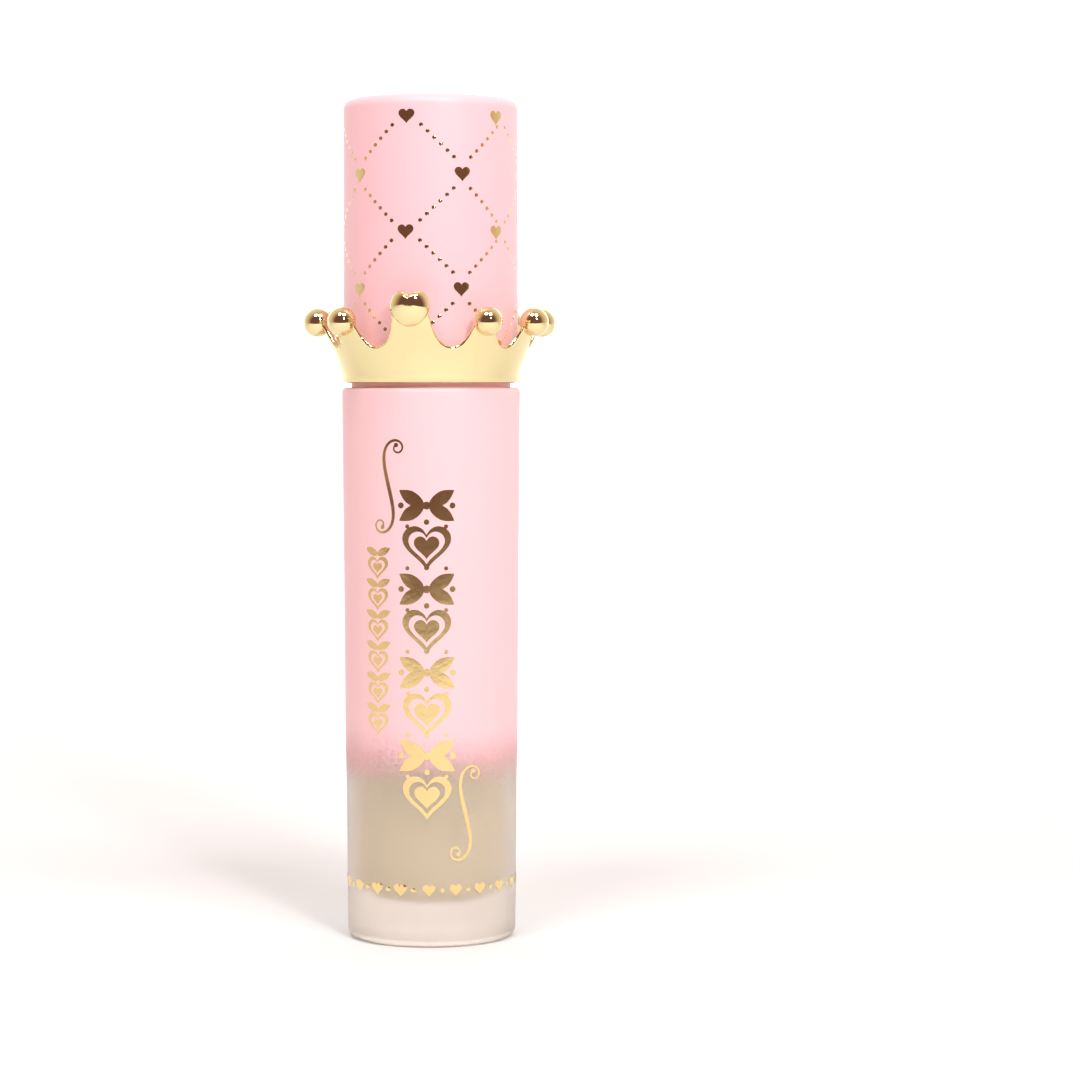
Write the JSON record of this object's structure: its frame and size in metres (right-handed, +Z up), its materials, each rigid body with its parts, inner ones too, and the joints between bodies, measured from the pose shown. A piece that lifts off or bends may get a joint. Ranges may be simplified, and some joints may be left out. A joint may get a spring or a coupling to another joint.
{
  "type": "lip gloss tube",
  "caption": "Slim round lip gloss tube with a screw cap, a crown-shaped metallic collar with beads and a heart, and a flocked applicator wand.",
  "frame": {"origin": "centre of the vial's foot, on the surface that the tube stands on", "axes": "+Z up along the tube's axis, -Y towards the front, +X to the right"},
  "size_m": [0.029, 0.0287, 0.0964],
  "materials": {
    "vial_plastic": "frosted clear plastic, sprayed pink from the shoulder down and fading out towards the foot",
    "wiper_plastic": "natural soft plastic",
    "gloss_fluid": "thick beige gloss",
    "washer_foam": "fine white foam",
    "cap_plastic": "soft-touch pink",
    "inner_cap_plastic": "moulded, satin",
    "gold_plating": "bright gold plating on moulded plastic",
    "stem_plastic": "natural translucent white",
    "applicator_plastic": "soft moulded core",
    "flock": "short nylon flock, wet with gloss"
  },
  "bodies": {
    "vial": {"vial": "vial_plastic", "wiper": "wiper_plastic", "gloss": "gloss_fluid"},
    "washer": {"seal_washer": "washer_foam"},
    "cap": {"cap_shell": "cap_plastic", "inner_cap": "inner_cap_plastic", "crown": "gold_plating", "wand_stem": "stem_plastic", "applicator_core": "applicator_plastic", "applicator_flock": "flock"}
  },
  "joints": [
    {"name": "cap_lift", "type": "slide", "parent": "vial", "child": "washer", "axis": [0, 0, 1], "range_m": [0, 0.0721], "deforming": ["wiper", "gloss"]},
    {"name": "cap_turn", "type": "hinge", "parent": "washer", "child": "cap", "pos_m": [0, 0, 0.077], "axis": [0, 0, 1], "range_deg": [0, 4320]}
  ],
  "couplings": [
    {"joint": "cap_lift", "follows": "cap_turn", "m_per_rad": 0.00095493}
  ]
}
